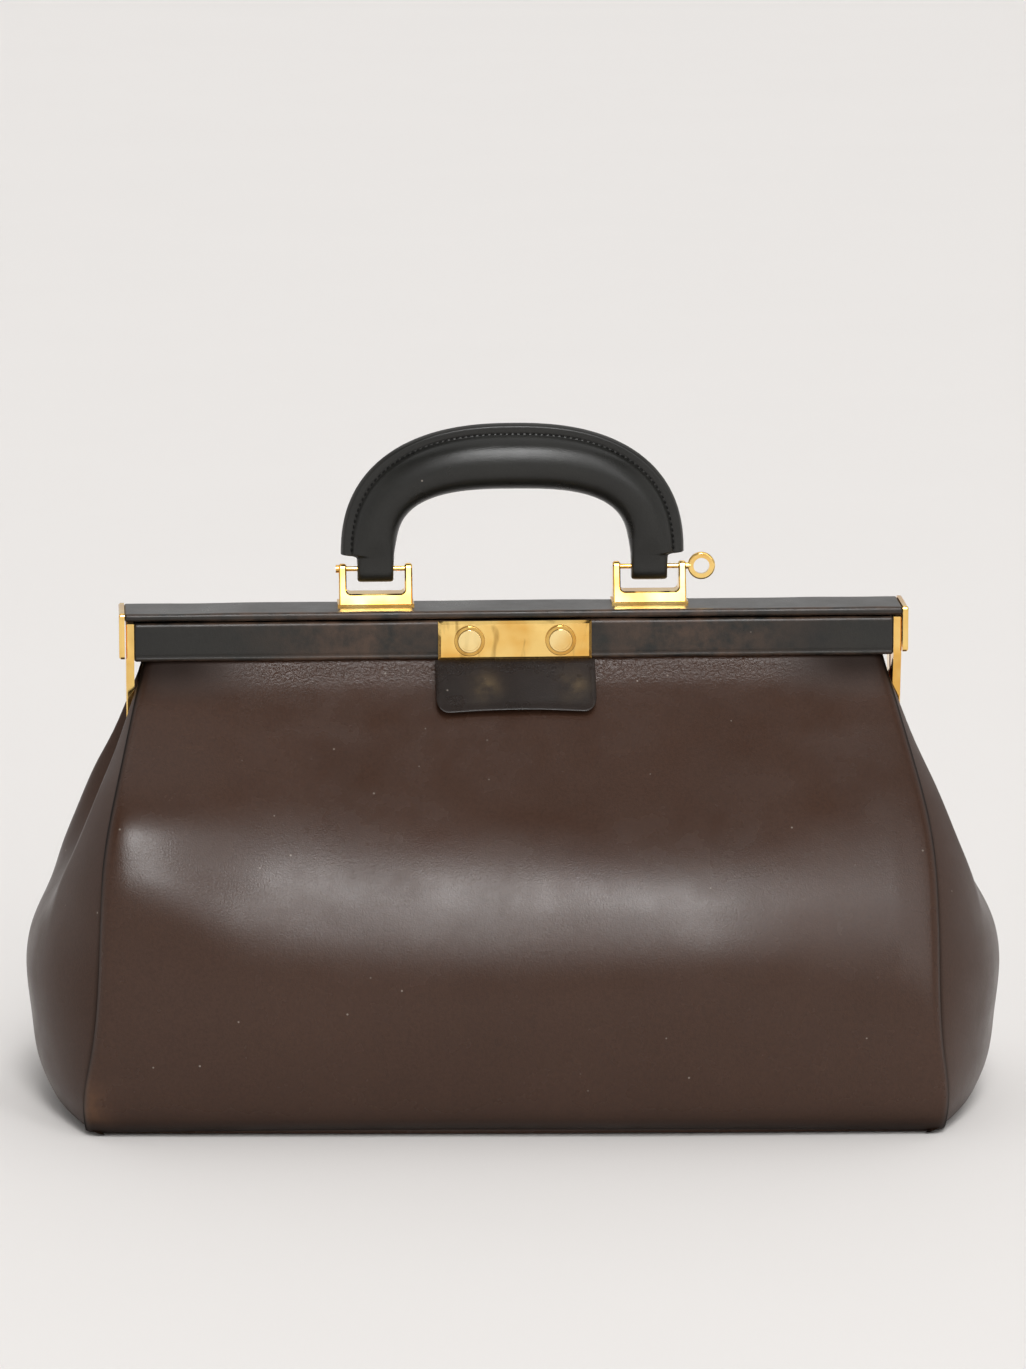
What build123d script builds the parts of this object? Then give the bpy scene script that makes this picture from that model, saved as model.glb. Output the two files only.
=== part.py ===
from build123d import *
import os
from math import cos, hypot, pi, sin
from typing import NamedTuple

# Leather handbag with a hinged two-bar frame. Millimetres, +Z up, +X to the right,
# -Y to the front. The origin is under the middle of the base.

# Body leather
leather = 2.0
seam_gap = 0.4
foot_gap = 0.5
mouth_inset = 7.4
panel_flare = 26.5
mouth_depth = 23.0
body_depth = 175.0
panel_crown = 7.0
gusset_bulge = 30.5
gusset_inset = 1.0
pleat_depth = 24.0
base_thickness = 3.0
board_thickness = 2.0
board_margin = 8.0

# Frame bars: leather covers over steel channels
frame_top = 197.2
bar_length = 301.8
bar_depth = 10.5
bar_space = 5.0
front_bar_height = 15.4
bar_clearance = 0.7
cover = 1.0
cover_round = 1.2
steel = 1.2
seat_gap = 0.3

# Frame arms and their pivot
arm_thickness = 3.2
arm_gap = 0.4
pivot_drop = 62.0
boss_radius = 5.0
arm_bevel = 0.5
lap_gap = 0.2
pivot_radius = 1.5
pivot_head_radius = 3.0
pivot_head = 1.1
pivot_round = 0.5
running_clearance = 0.05
fixed_clearance = 0.02

# End caps on the rear bar
cap_thickness = 2.2
cap_drop = 18.2
cap_proud = 0.3
cap_round = 1.5
cap_bevel = 0.6
cap_clearance = 0.5

# Clasp
clasp_length = 61.0
clasp_thickness = 1.8
clasp_bevel = 1.1
button_spacing = 36.2
button_radius = 4.6
button_clearance = 0.1
button_proud = 0.6
button_dish = 0.3
button_rim = 0.9
button_round = 0.25
button_depth = 7.0
button_travel = 1.5
button_stop_gap = 0.5
collar_radius = 6.1
collar_height = 1.2
collar_round = 0.4
lock_length = 58.0
lock_height = 11.5
striker_height = 9.0
striker_thickness = 1.2
slot_length = 6.0
slot_height = 3.0

# Pull tab
tab_width = 63.5
tab_length = 20.5
tab_thickness = 1.8
tab_corner = 5.0
tab_gap = 0.6

# Handle brackets, pins and ring
leg_spacing = 109.2
handle_setback = 4.5
pin_height = 14.5
pin_radius = 1.0
bracket_length = 29.2
bracket_depth = 11.0
bracket_floor = 5.0
bracket_fillet = 1.8
bracket_bevel = 0.6
lip_height = 1.2
lip_margin = 0.6
ear = 3.0
ear_radius = 2.1
pin_head_radius = 1.6
pin_head = 1.2
neck_radius = 1.3
neck_length = 1.4
ring_radius = 5.5
eye_radius = 3.2
ring_width = 2.4
ring_round = 0.8
screw_spacing = 16.0
screw_radius = 1.25
screw_length = 5.4
screw_head_radius = 2.4
screw_head = 1.6

# Handle
grip_height = 20.0
grip_depth = 22.0
leg_height = 16.0
leg_depth = 12.5
arch_lift = 5.0
arch_rise = 36.8
flange_reach = 68.4
flange_rise = 53.2
flange_thickness = 4.2
loop_width = 14.4
loop_depth = 8.4
loop_drop = 5.3

# One overrun for every cut
overrun = 5.0

# Exponents of the curves: roundness of the arches, the bulge and the pleat
arch_exponent = 2.7
flange_exponent = 2.4
bulge_exponent = 2.2
pleat_exponent = 1.5


# One level of the leather walls, from the foot to the mouth
class Station(NamedTuple):
    height: float
    depth: float
    width: float
    crown: float
    bulge: float
    pleat: float
    ridge: float


wall_shares = [
    Station(0.00, 0.93, 0.96, 0.40, 0.31, 0.00, 0.50),
    Station(0.08, 0.975, 1.00, 0.55, 0.56, 0.00, 0.50),
    Station(0.19, 1.00, 0.89, 0.72, 0.83, 0.00, 0.50),
    Station(0.32, 0.985, 0.80, 0.93, 1.00, 0.00, 0.50),
    Station(0.43, 0.93, 0.775, 1.00, 0.89, 0.06, 0.50),
    Station(0.52, 0.84, 0.755, 1.00, 0.81, 0.46, 0.52),
    Station(0.61, 0.705, 0.715, 0.92, 0.65, 0.81, 0.60),
    Station(0.70, 0.54, 0.605, 0.70, 0.46, 1.00, 0.66),
    Station(0.80, 0.335, 0.415, 0.42, 0.24, 0.90, 0.64),
    Station(0.90, 0.15, 0.21, 0.15, 0.14, 0.86, 0.72),
    Station(1.00, 0.00, 0.00, 0.00, 0.04, 0.86, 0.80),
]
across_shares = [-1, -0.85, -0.7, -0.55, -0.4, -0.2, 0, 0.2, 0.4, 0.55, 0.7, 0.85, 1]
step_share = 0.01
grip_shares = [0, 0.1, 0.2, 0.3, 0.4, 0.5, 0.6, 0.7, 0.8, 0.9, 1]
flange_shares = [0, 0.03, 0.08, 0.15, 0.23, 0.32, 0.41, 0.5, 0.59, 0.68, 0.77, 0.85, 0.92, 0.97, 1]

# Levels and places that follow from the sizes above
flange_height = 2 * cover + steel
front_bar_top = frame_top - flange_height - bar_clearance
front_bar_bottom = front_bar_top - front_bar_height
front_bar_middle = (front_bar_top + front_bar_bottom) / 2
mouth_height = front_bar_bottom - seat_gap
bar_half = bar_length / 2
bar_face = bar_space / 2
bar_middle = bar_face + bar_depth / 2
frame_face = bar_face + bar_depth
lining = cover + steel
flange_half = bar_half + arm_thickness + cap_clearance
pivot_height = frame_top - pivot_drop
lap_middle = bar_half + arm_thickness / 2
bracket_place = leg_spacing / 2
button_place = button_spacing / 2
button_bore = button_radius + button_clearance
pin_level = frame_top + pin_height
arch_level = pin_level + arch_lift


def seam_depth(station):
    return (mouth_depth + (body_depth - mouth_depth) * station.depth) / 2


def seam_reach(station):
    return bar_half - mouth_inset + panel_flare * station.width


def level(station):
    return foot_gap + (mouth_height - foot_gap) * station.height


def ring_face(outer, inner):
    """The face between two open curves that run the same way."""
    start = Line(inner @ 0, outer @ 0)
    end = Line(outer @ 1, inner @ 1)
    return Face(Wire([start, outer, end, inner]))


def panel_section(station):
    """A level strip of the front panel: a shallow arc from seam to seam, one leather thick."""
    reach = seam_reach(station)
    front = -seam_depth(station)
    middle = front - panel_crown * station.crown
    z = level(station)
    outer = Spline((-reach, front, z), (0, middle, z), (reach, front, z))
    front += leather
    middle += leather
    inner = Spline((-reach, front, z), (0, middle, z), (reach, front, z))
    return ring_face(outer, inner)


def gusset_point(station, share):
    """A point of the right gusset's outer face: a bulge, less the pleat between its two ridges."""
    bulge = gusset_bulge * station.bulge * (1 - abs(share) ** bulge_exponent)
    inside = max(0, 1 - (share / station.ridge) ** 2)
    pleat = pleat_depth * station.pleat * inside ** pleat_exponent
    x = seam_reach(station) - gusset_inset + bulge - pleat
    y = share * (seam_depth(station) - leather - seam_gap)
    return x, y


def gusset_section(station):
    """A level strip of the right gusset, one leather thick, from front seam to rear seam."""
    z = level(station)
    outer = []
    inner = []
    for share in across_shares:
        x, y = gusset_point(station, share)
        before = gusset_point(station, max(-1, share - step_share))
        after = gusset_point(station, min(1, share + step_share))
        run = after[0] - before[0], after[1] - before[1]
        length = hypot(*run)
        outer.append((x, y, z))
        inner.append((x - leather * run[1] / length, y + leather * run[0] / length, z))
    return ring_face(Spline(*outer), Spline(*inner))


def base_outline(margin):
    """The outline of the foot, drawn in by a margin: a shallow arc on each of its four sides."""
    foot = wall_shares[0]
    side = seam_reach(foot) - gusset_inset - margin
    front = seam_depth(foot) - margin
    end = side + gusset_bulge * foot.bulge
    middle = front + panel_crown * foot.crown
    return Face(Wire([
        ThreePointArc((-side, -front), (0, -middle), (side, -front)),
        ThreePointArc((side, -front), (end, 0), (side, front)),
        ThreePointArc((side, front), (0, middle), (-side, front)),
        ThreePointArc((-side, front), (-end, 0), (-side, -front)),
    ]))


def slab(y_range, z_range, half_length):
    """A straight bar along X with a rectangular section."""
    width = y_range[1] - y_range[0]
    height = z_range[1] - z_range[0]
    middle = Pos(sum(y_range) / 2, sum(z_range) / 2)
    return extrude(Plane.YZ * middle * Rectangle(width, height), half_length, both=True)


def rod_x(radius, start, end, y, z):
    """A round rod along X."""
    place = Plane((start, y, z), x_dir=(0, 1, 0), z_dir=(1, 0, 0))
    return extrude(place * Circle(radius), end - start)


def rod_y(radius, start, end, x, z):
    """A round rod along Y."""
    place = Plane((x, start, z), x_dir=(1, 0, 0), z_dir=(0, 1, 0))
    return extrude(place * Circle(radius), end - start)


def rod_z(radius, start, end, x, y):
    """A round rod along Z."""
    return extrude(Plane((x, y, start)) * Circle(radius), end - start)


def mirrored(solid):
    return mirror(solid, about=Plane.YZ)


# Leather walls: lofts of level strips from the foot to the mouth
front_panel = loft([panel_section(station) for station in wall_shares])
back_panel = mirror(front_panel, about=Plane.XZ)
right_gusset = loft([gusset_section(station) for station in wall_shares])
left_gusset = mirrored(right_gusset)

# Base: a leather bottom between the walls, with a stiff board on it
base_panel = extrude(base_outline(leather + seam_gap), base_thickness)
base_board = extrude(base_outline(leather + seam_gap + board_margin), board_thickness)
base_board = Pos(0, 0, base_thickness) * base_board

# Front bar: a leather sleeve on a steel channel that is open below
front_inner = -frame_face + cover, -bar_face - cover
front_cavity = front_bar_bottom + cover, front_bar_top - cover
front_bar_cover = slab((-frame_face, -bar_face), (front_bar_bottom, front_bar_top), bar_half)
front_bar_cover = fillet(front_bar_cover.edges().filter_by(Axis.X), cover_round)
front_bar_cover -= slab(front_inner, front_cavity, bar_half + overrun)
front_channel = slab(front_inner, front_cavity, bar_half)
channel_space = front_inner[0] + steel, front_inner[1] - steel
channel_roof = front_cavity[1] - steel
front_channel -= slab(channel_space, (front_cavity[0] - overrun, channel_roof), bar_half + overrun)

# Rear bar: a leather sleeve with a top that laps over the front bar, on a steel channel
flange_bottom = frame_top - flange_height
top_inner = -frame_face + cover, frame_face - cover
top_cavity = flange_bottom + cover, frame_top - cover
rear_inner = bar_face + cover, frame_face - cover
rear_cavity = front_bar_bottom + cover, top_cavity[1]
rear_bar_cover = slab((-frame_face, frame_face), (flange_bottom, frame_top), flange_half)
rear_bar_cover += slab((bar_face, frame_face), (front_bar_bottom, frame_top), bar_half)
top_edges = rear_bar_cover.edges().filter_by(Axis.X).group_by(Axis.Z)
rear_bar_cover = fillet(top_edges[0] + top_edges[-1], cover_round)
rear_bar_cover -= slab(top_inner, top_cavity, flange_half + overrun)
rear_bar_cover -= slab(rear_inner, rear_cavity, bar_half + overrun)
rear_channel = slab(top_inner, top_cavity, flange_half)
rear_channel += slab((rear_inner[0], rear_inner[0] + steel), rear_cavity, bar_half)
rear_channel += slab((rear_inner[1] - steel, rear_inner[1]), rear_cavity, bar_half)

# Arms: each covers a bar's end and tapers to a boss, and the two bosses lap at half thickness
arm_outline = Polyline(
    (-frame_face, front_bar_top),
    (-bar_face, front_bar_top),
    (-bar_face, front_bar_bottom),
    (-arm_gap, pivot_height),
    (-boss_radius, pivot_height),
    (-frame_face, front_bar_bottom),
    close=True,
)
arm_face = make_face(arm_outline) + Pos(0, pivot_height) * Circle(boss_radius)
arm_plate = extrude(Plane.YZ.offset(bar_half) * arm_face, arm_thickness)
arm_plate = chamfer(arm_plate.faces().sort_by(Axis.X)[-1].edges(), arm_bevel)
lap_radius = boss_radius + lap_gap
inner_lap = rod_x(lap_radius, bar_half - overrun, lap_middle + lap_gap / 2, 0, pivot_height)
outer_lap = rod_x(lap_radius, lap_middle - lap_gap / 2, flange_half + overrun, 0, pivot_height)
right_front_arm = arm_plate - inner_lap
right_front_arm -= rod_x(pivot_radius + running_clearance, bar_half, flange_half, 0, pivot_height)
right_rear_arm = mirror(arm_plate, about=Plane.XZ) - outer_lap
right_rear_arm -= rod_x(pivot_radius + fixed_clearance, bar_half, flange_half, 0, pivot_height)
right_pivot_pin = rod_x(pivot_radius, bar_half, bar_half + arm_thickness, 0, pivot_height)
right_pivot_pin += rod_x(pivot_head_radius, bar_half - pivot_head, bar_half, 0, pivot_height)
pin_end = bar_half + arm_thickness
right_pivot_pin += rod_x(pivot_head_radius, pin_end, pin_end + pivot_head, 0, pivot_height)
right_pivot_pin = fillet(right_pivot_pin.faces().sort_by(Axis.X)[-1].edges(), pivot_round)

# End caps: plates that close the rear bar and hide the heads of the arms
cap_face = RectangleRounded(2 * (frame_face + cap_proud), cap_drop + cap_proud, cap_round)
cap_place = Plane.YZ.offset(flange_half) * Pos(0, frame_top + cap_proud - (cap_drop + cap_proud) / 2)
right_end_cap = extrude(cap_place * cap_face, cap_thickness)
right_end_cap = chamfer(right_end_cap.faces().sort_by(Axis.X)[-1].edges(), cap_bevel)

# Clasp: a bevelled plate on the front bar, with a collar round each button
clasp_face = -frame_face - clasp_thickness
clasp_plate = slab((clasp_face, -frame_face), (front_bar_bottom, front_bar_top), clasp_length / 2)
clasp_plate = chamfer(clasp_plate.faces().sort_by(Axis.Y)[0].edges(), clasp_bevel)
collar_face = clasp_face - collar_height
right_collar = rod_y(collar_radius, collar_face, clasp_face, button_place, front_bar_middle)
right_collar = fillet(right_collar.faces().sort_by(Axis.Y)[0].edges(), collar_round)
button_face = collar_face - button_proud
button_end = button_face + button_depth
right_button = rod_y(button_radius, button_face, button_end, button_place, front_bar_middle)
right_button = fillet(right_button.faces().sort_by(Axis.Y)[0].edges(), button_round)
dish = rod_y(
    button_radius - button_rim, button_face - overrun, button_face + button_dish,
    button_place, front_bar_middle,
)
right_button -= dish
lock_floor = button_end + button_travel + button_stop_gap
right_bore = rod_y(button_bore, collar_face - overrun, lock_floor, button_place, front_bar_middle)
lock_case = slab(channel_space, (channel_roof - lock_height, channel_roof), lock_length / 2)
button_bores = right_bore + mirrored(right_bore)
clasp_plate -= button_bores
front_bar_cover -= button_bores
front_channel -= button_bores
lock_case -= button_bores
right_collar -= right_bore
striker_face = bar_face - striker_thickness
striker_middle = front_bar_middle
striker_range = striker_middle - striker_height / 2, striker_middle + striker_height / 2
striker_plate = slab((striker_face, bar_face), striker_range, lock_length / 2)
for side in (-1, 1):
    slot = Pos(side * button_place, bar_face, striker_middle)
    striker_plate -= slot * Box(slot_length, 2 * bar_space, slot_height)

# Pull tab: lies along the top of the front panel, with its lower corners rounded
mouth = wall_shares[-1]
below = wall_shares[-2]
slope_y = seam_depth(below) + panel_crown * below.crown - seam_depth(mouth)
slope_z = level(mouth) - level(below)
slope = hypot(slope_y, slope_z)
tab_normal = 0, -slope_z / slope, slope_y / slope
tab_start = (tab_gap + tab_thickness) * slope_y / slope_z
tab_origin = (
    0,
    -seam_depth(mouth) - tab_start * slope_y / slope + tab_gap * tab_normal[1],
    level(mouth) - tab_start * slope_z / slope + tab_gap * tab_normal[2],
)
tab_plane = Plane(tab_origin, x_dir=(1, 0, 0), z_dir=tab_normal)
tab_face = Pos(0, -tab_length / 2) * Rectangle(tab_width, tab_length)
tab_face = fillet(tab_face.vertices().group_by(Axis.Y)[0], tab_corner)
pull_tab = extrude(tab_plane * tab_face, tab_thickness)

# Handle brackets: a stirrup with tapered ears on a lipped foot
bracket_end = bracket_length / 2
side_outline = Circle(ear_radius).edges() + (
    Pos(0, lip_height / 2 - pin_height) * Rectangle(bracket_depth, lip_height)
).edges()
bracket_plane = Plane((bracket_place, handle_setback, pin_level), x_dir=(0, 1, 0), z_dir=(1, 0, 0))
right_bracket = extrude(bracket_plane * make_hull(side_outline), bracket_end, both=True)
window_height = pin_height + ear_radius + overrun
window_middle = frame_top + bracket_floor + window_height / 2
window_plane = Plane((bracket_place, handle_setback, window_middle), x_dir=(1, 0, 0), z_dir=(0, -1, 0))
window = RectangleRounded(bracket_length - 2 * ear, window_height, bracket_fillet)
right_bracket -= extrude(window_plane * window, bracket_depth, both=True)
sloped_faces = right_bracket.faces().filter_by(GeomType.PLANE).sort_by(SortBy.AREA)[-3:-1]
border = ShapeList()
for face in sloped_faces:
    foot, *rim, left_top, right_top = face.edges().sort_by(Axis.Z)
    border += rim
right_bracket = chamfer(border, bracket_bevel)
lip_plane = Plane((bracket_place, handle_setback, frame_top))
lip = Rectangle(bracket_length + 2 * lip_margin, bracket_depth + 2 * lip_margin)
right_bracket += extrude(lip_plane * lip, lip_height)
ear_inner = bracket_place - bracket_end
ear_outer = bracket_place + bracket_end
pin_hole = rod_x(pin_radius + fixed_clearance, ear_inner, ear_outer, handle_setback, pin_level)
right_bracket -= pin_hole

# Bracket screws: up through the rear channel and its cover into the bracket's floor
screw_seat = top_cavity[0]
screw_tip = screw_seat + screw_length
right_screws = Part()
screw_holes = Part()
for side in (-1, 1):
    x = bracket_place + side * screw_spacing / 2
    screw = rod_z(screw_radius, screw_seat, screw_tip, x, bar_middle)
    screw += rod_z(screw_head_radius, screw_seat - screw_head, screw_seat, x, bar_middle)
    right_screws += screw
    screw_holes += rod_z(screw_radius + fixed_clearance, screw_seat, screw_tip, x, bar_middle)
right_bracket -= screw_holes
both_holes = screw_holes + mirrored(screw_holes)
rear_channel -= both_holes
rear_bar_cover -= both_holes
left_bracket = mirrored(right_bracket)
bracket_screws = right_screws + mirrored(right_screws)

# Handle pins: the left one has a small head, the right one ends in a ring
handle_pin = rod_x(pin_radius, ear_inner, ear_outer, handle_setback, pin_level)
left_handle_pin = mirrored(
    handle_pin + rod_x(pin_head_radius, ear_outer, ear_outer + pin_head, handle_setback, pin_level)
)
ring_place = ear_outer + neck_length + ring_radius - neck_radius / 2
ring_front = handle_setback - ring_width / 2
ring_back = handle_setback + ring_width / 2
ring = rod_y(ring_radius, ring_front, ring_back, ring_place, pin_level)
ring = fillet(ring.edges(), ring_round)
neck_end = ring_place - (ring_radius + eye_radius) / 2
ring += rod_x(neck_radius, ear_outer, neck_end, handle_setback, pin_level)
ring -= rod_y(eye_radius, ring_front, ring_back, ring_place, pin_level)
ring_pin = handle_pin + ring


def arch(half_span, rise, exponent, share):
    """A point of a rounded arch and its direction, at a share of the way round."""
    across = cos(pi * share)
    up = sin(pi * share)
    side = 1 if across >= 0 else -1
    x = side * abs(across) ** (2 / exponent)
    z = abs(up) ** (2 / exponent)
    normal_x = side * abs(x) ** (exponent - 1) / half_span
    normal_z = z ** (exponent - 1) / rise
    return half_span * x, rise * z, -normal_z, normal_x


def grip_section(share):
    """An oval across the grip, largest at the top of the arch."""
    x, z, run_x, run_z = arch(leg_spacing / 2, arch_rise, arch_exponent, share)
    swell = sin(pi * share)
    depth = leg_depth + (grip_depth - leg_depth) * swell
    height = leg_height + (grip_height - leg_height) * swell
    place = Plane((x, handle_setback, arch_level + z), x_dir=(0, 1, 0), z_dir=(run_x, 0, run_z))
    return place * Ellipse(depth / 2, height / 2)


def loop_section(side, direction):
    """The oval where a leg runs into its loop."""
    place = Plane((side * leg_spacing / 2, handle_setback, pin_level), x_dir=(0, 1, 0), z_dir=(0, 0, direction))
    return place * Ellipse(loop_depth / 2, loop_width / 2)


# Handle: an oval grip bent to an arch, a stitched flange round its outside and a loop at each foot
grip_sections = [loop_section(1, 1)]
grip_sections += [grip_section(share) for share in grip_shares]
grip_sections += [loop_section(-1, -1)]
handle = loft(grip_sections)
outer_points = [arch(flange_reach, flange_rise, flange_exponent, share)[:2] for share in flange_shares]
inner_points = [arch(leg_spacing / 2, arch_rise, arch_exponent, share)[:2] for share in flange_shares]
flange_face = ring_face(Spline(*outer_points), Spline(*inner_points))
flange_plane = Plane((0, handle_setback, arch_level), x_dir=(1, 0, 0), z_dir=(0, -1, 0))
handle += extrude(flange_plane * flange_face, flange_thickness / 2, both=True)
loop_height = loop_drop + arch_lift
loop_face = Pos(0, (arch_lift - loop_drop) / 2) * Rectangle(loop_depth, loop_height)
loop_face = fillet(loop_face.vertices().group_by(Axis.Y)[0], loop_depth / 2 - fixed_clearance)
loop = extrude(bracket_plane * loop_face, loop_width / 2, both=True)
loop_bore = rod_x(pin_radius + running_clearance, ear_inner, ear_outer, handle_setback, pin_level)
handle += loop + mirrored(loop)
handle -= loop_bore + mirrored(loop_bore)

nodes = {
    "front_panel": front_panel,
    "back_panel": back_panel,
    "left_gusset": left_gusset,
    "right_gusset": right_gusset,
    "base_panel": base_panel,
    "base_board": base_board,
    "front_bar_cover": front_bar_cover,
    "front_channel": front_channel,
    "left_front_arm": mirrored(right_front_arm),
    "right_front_arm": right_front_arm,
    "clasp_plate": clasp_plate,
    "left_button_collar": mirrored(right_collar),
    "right_button_collar": right_collar,
    "lock_case": lock_case,
    "pull_tab": pull_tab,
    "rear_bar_cover": rear_bar_cover,
    "rear_channel": rear_channel,
    "left_rear_arm": mirrored(right_rear_arm),
    "right_rear_arm": right_rear_arm,
    "left_pivot_pin": mirrored(right_pivot_pin),
    "right_pivot_pin": right_pivot_pin,
    "left_end_cap": mirrored(right_end_cap),
    "right_end_cap": right_end_cap,
    "striker_plate": striker_plate,
    "left_handle_bracket": left_bracket,
    "right_handle_bracket": right_bracket,
    "bracket_screws": bracket_screws,
    "left_handle_pin": left_handle_pin,
    "ring_pin": ring_pin,
    "handle": handle,
    "left_button": mirrored(right_button),
    "right_button": right_button,
}

os.makedirs("parts", exist_ok=True)
for name, solid in nodes.items():
    export_step(solid, f"parts/{name}.step")
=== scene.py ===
"""Leather handbag on a hinged metal frame: the looks of its pieces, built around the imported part."""

import math

import bpy
import numpy as np
from bpy.props import FloatProperty, FloatVectorProperty, PointerProperty
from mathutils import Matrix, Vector


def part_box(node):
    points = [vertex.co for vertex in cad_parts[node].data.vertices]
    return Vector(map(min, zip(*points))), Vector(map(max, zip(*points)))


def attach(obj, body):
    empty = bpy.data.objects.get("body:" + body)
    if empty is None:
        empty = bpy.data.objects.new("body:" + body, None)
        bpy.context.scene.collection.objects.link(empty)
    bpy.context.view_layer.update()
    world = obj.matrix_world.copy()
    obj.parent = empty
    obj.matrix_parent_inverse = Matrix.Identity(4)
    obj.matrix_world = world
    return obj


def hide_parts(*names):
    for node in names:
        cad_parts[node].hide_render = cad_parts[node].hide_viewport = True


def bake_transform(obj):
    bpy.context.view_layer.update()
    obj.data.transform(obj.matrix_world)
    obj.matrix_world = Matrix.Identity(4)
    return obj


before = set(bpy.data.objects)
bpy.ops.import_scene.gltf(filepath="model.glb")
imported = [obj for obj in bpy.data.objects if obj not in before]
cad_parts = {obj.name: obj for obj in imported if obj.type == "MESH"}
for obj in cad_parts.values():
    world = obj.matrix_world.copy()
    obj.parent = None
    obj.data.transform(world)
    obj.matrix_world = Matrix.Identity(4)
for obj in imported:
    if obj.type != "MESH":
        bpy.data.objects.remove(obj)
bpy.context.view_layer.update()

bl_info = {
    "name": "Frame Handbag",
    "version": (1, 0, 0),
    "blender": (4, 5, 0),
    "location": "View3D > Sidebar > Handbag",
    "description": "Dresses a hinged frame handbag with leather, gilt metal and stitching",
    "category": "Add Mesh",
}

MM = 0.001

# Shares of the leather walls by level: height, depth, width, crown, bulge, pleat, ridge
WALL_SHARES = np.array([
    (0.00, 0.93, 0.96, 0.40, 0.44, 0.00, 0.50),
    (0.08, 0.975, 1.00, 0.55, 0.67, 0.00, 0.50),
    (0.19, 1.00, 0.89, 0.72, 0.87, 0.00, 0.50),
    (0.32, 0.985, 0.80, 0.93, 1.00, 0.00, 0.50),
    (0.43, 0.93, 0.775, 1.00, 0.88, 0.06, 0.50),
    (0.52, 0.84, 0.755, 1.00, 0.76, 0.40, 0.52),
    (0.61, 0.705, 0.715, 0.92, 0.60, 0.75, 0.60),
    (0.70, 0.54, 0.605, 0.70, 0.46, 1.00, 0.66),
    (0.80, 0.335, 0.415, 0.42, 0.24, 0.90, 0.64),
    (0.90, 0.15, 0.21, 0.15, 0.14, 0.86, 0.72),
    (1.00, 0.00, 0.00, 0.00, 0.04, 0.86, 0.80),
])

# Soft swells of the front panel in millimetres: x, z, half width, half height, how far it stands out
PANEL_SWELLS = np.array([
    (80.0, 88.0, 55.0, 60.0, 4.5),
    (-10.0, 60.0, 70.0, 30.0, 0.5),
    (-166.0, 26.0, 12.0, 4.0, -1.0),
])


def length(name, description, millimetres):
    """A length property that the user sees with its unit."""
    return FloatProperty(
        name=name, description=description, default=millimetres * MM, unit="LENGTH", precision=4,
    )


def colour(name, description, default):
    """A colour property, in linear light."""
    return FloatVectorProperty(
        name=name, description=description, default=default, subtype="COLOR", size=3, min=0.0, max=1.0,
    )


class BagSizes(bpy.types.PropertyGroup):
    """Sizes of the leather work"""

    leather: length("Leather", "Thickness of the leather walls", 2.0)
    seam_gap: length("Seam gap", "Gap between a panel and the gusset edge behind it", 0.4)
    mouth_reach: length("Mouth reach", "Half length of a panel at the mouth", 147.0)
    panel_flare: length("Panel flare", "How much further a panel reaches at its widest", 23.0)
    mouth_depth: length("Mouth depth", "Depth of the bag at the mouth", 23.0)
    body_depth: length("Body depth", "Depth of the bag at its deepest", 175.0)
    panel_crown: length("Panel crown", "How far a panel bows out between its seams", 7.0)
    gusset_bulge: length("Gusset bulge", "How far a gusset swells past the seams", 30.5)
    pleat_depth: length("Pleat depth", "How far a gusset folds in between its ridges", 24.0)
    foot: length("Foot", "Height of the lowest edge of the walls", 0.5)
    mouth: length("Mouth", "Height of the top edge of the walls", 177.6)
    edge_roll: length("Edge roll", "Radius of the rolled edges of the panels", 3.8)
    edge_fall: length("Edge fall", "How far the side edges of the panels fall back before the roll", 1.4)
    foot_roll: length("Foot roll", "Radius at which the walls turn under", 7.0)
    foot_lift: length("Foot lift", "How far the front edge lifts off the ground in its middle", 1.6)
    shoulder: length("Shoulder", "How much higher the front stands out at its left seam", 20.0)
    twist: FloatProperty(
        name="Twist", description="Turn of the soft body against its frame at the foot",
        default=math.radians(-2.5), subtype="ANGLE",
    )
    bar_roll: length("Bar roll", "Edge radius of the leather over the bars", 1.5)
    tab_bead: length("Tab bead", "Height of the rolled edge of the pull tab", 0.8)
    tab_flare: length("Tab flare", "How far the lower edge of the pull tab stands off the panel", 2.2)
    stitch_inset: length("Stitch inset", "Distance of the stitching from the edge of the handle", 4.3)
    stitch_pitch: length("Stitch pitch", "Length of one stitch with its gap", 2.3)
    thread: length("Thread", "Thickness of the thread", 1.0)


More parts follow.
